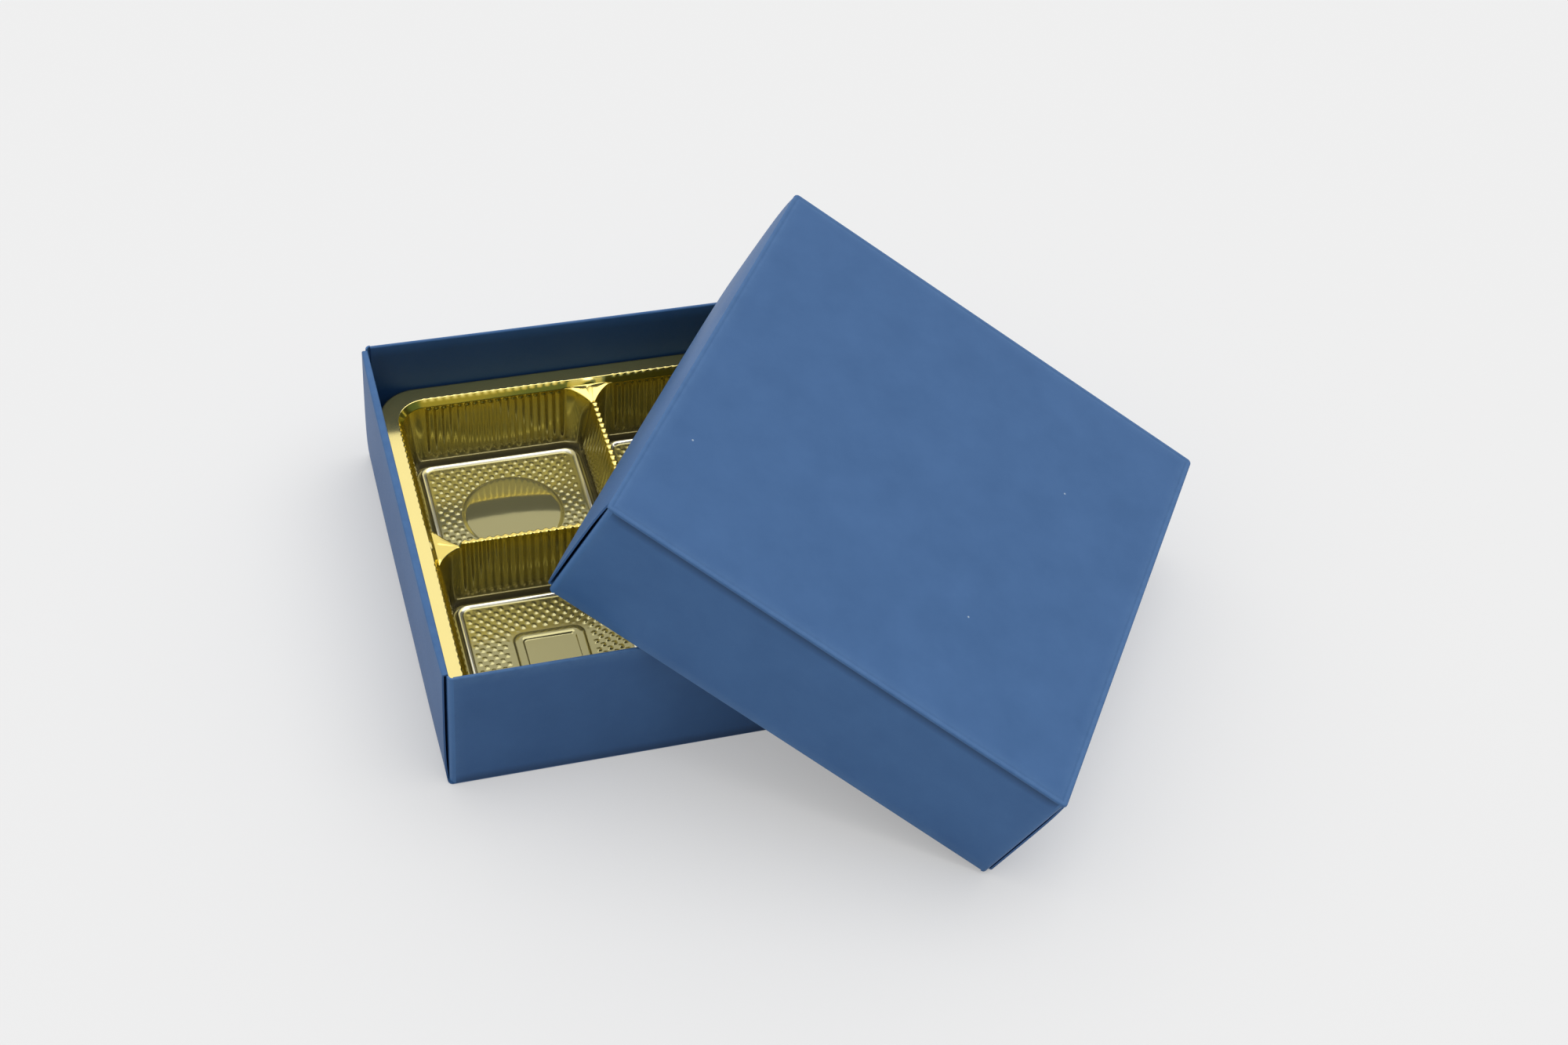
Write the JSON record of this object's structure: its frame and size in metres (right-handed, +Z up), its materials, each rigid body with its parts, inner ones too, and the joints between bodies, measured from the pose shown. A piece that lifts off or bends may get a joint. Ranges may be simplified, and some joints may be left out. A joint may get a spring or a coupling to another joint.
{
  "type": "chocolate box",
  "caption": "Square folded-card gift box with a lift-off lid leaning against its base and a gold formed tray with square cavities for chocolates.",
  "frame": {"origin": "middle of the base carton's underside, on the surface that it rests on", "axes": "+X along the base's front wall towards the leaning lid, +Y from the front wall to the back wall, +Z up out of the open base"},
  "size_m": [0.2002, 0.175, 0.0807],
  "materials": {
    "blue_card": "matte, lightly mottled through-dyed card",
    "gold_film": "mirror-like metallised film, gold at the top and paler where it is drawn thin"
  },
  "bodies": {
    "base": {"base_panel": "blue_card", "base_front_outer": "blue_card", "base_front_inner": "blue_card", "base_back_outer": "blue_card", "base_back_inner": "blue_card", "base_left_outer": "blue_card", "base_left_strip": "blue_card", "base_left_inner": "blue_card", "base_right_outer": "blue_card", "base_right_strip": "blue_card", "base_right_inner": "blue_card", "base_front_left_flap": "blue_card", "base_front_right_flap": "blue_card", "base_back_left_flap": "blue_card", "base_back_right_flap": "blue_card"},
    "tray": {"tray": "gold_film"},
    "lid": {"lid_panel": "blue_card", "lid_front_outer": "blue_card", "lid_front_inner": "blue_card", "lid_back_outer": "blue_card", "lid_back_inner": "blue_card", "lid_left_outer": "blue_card", "lid_left_strip": "blue_card", "lid_left_inner": "blue_card", "lid_right_outer": "blue_card", "lid_right_strip": "blue_card", "lid_right_inner": "blue_card", "lid_front_left_flap": "blue_card", "lid_front_right_flap": "blue_card", "lid_back_left_flap": "blue_card", "lid_back_right_flap": "blue_card"}
  },
  "joints": [
    {"name": "tray_lift", "type": "slide", "parent": "base", "child": "tray", "axis": [0, 0, 1], "range_m": [0, 0.045]},
    {"name": "lid_lift", "type": "slide", "parent": "tray", "child": "lid", "axis": [0, 0, 1], "range_m": [0, 0.08]}
  ]
}
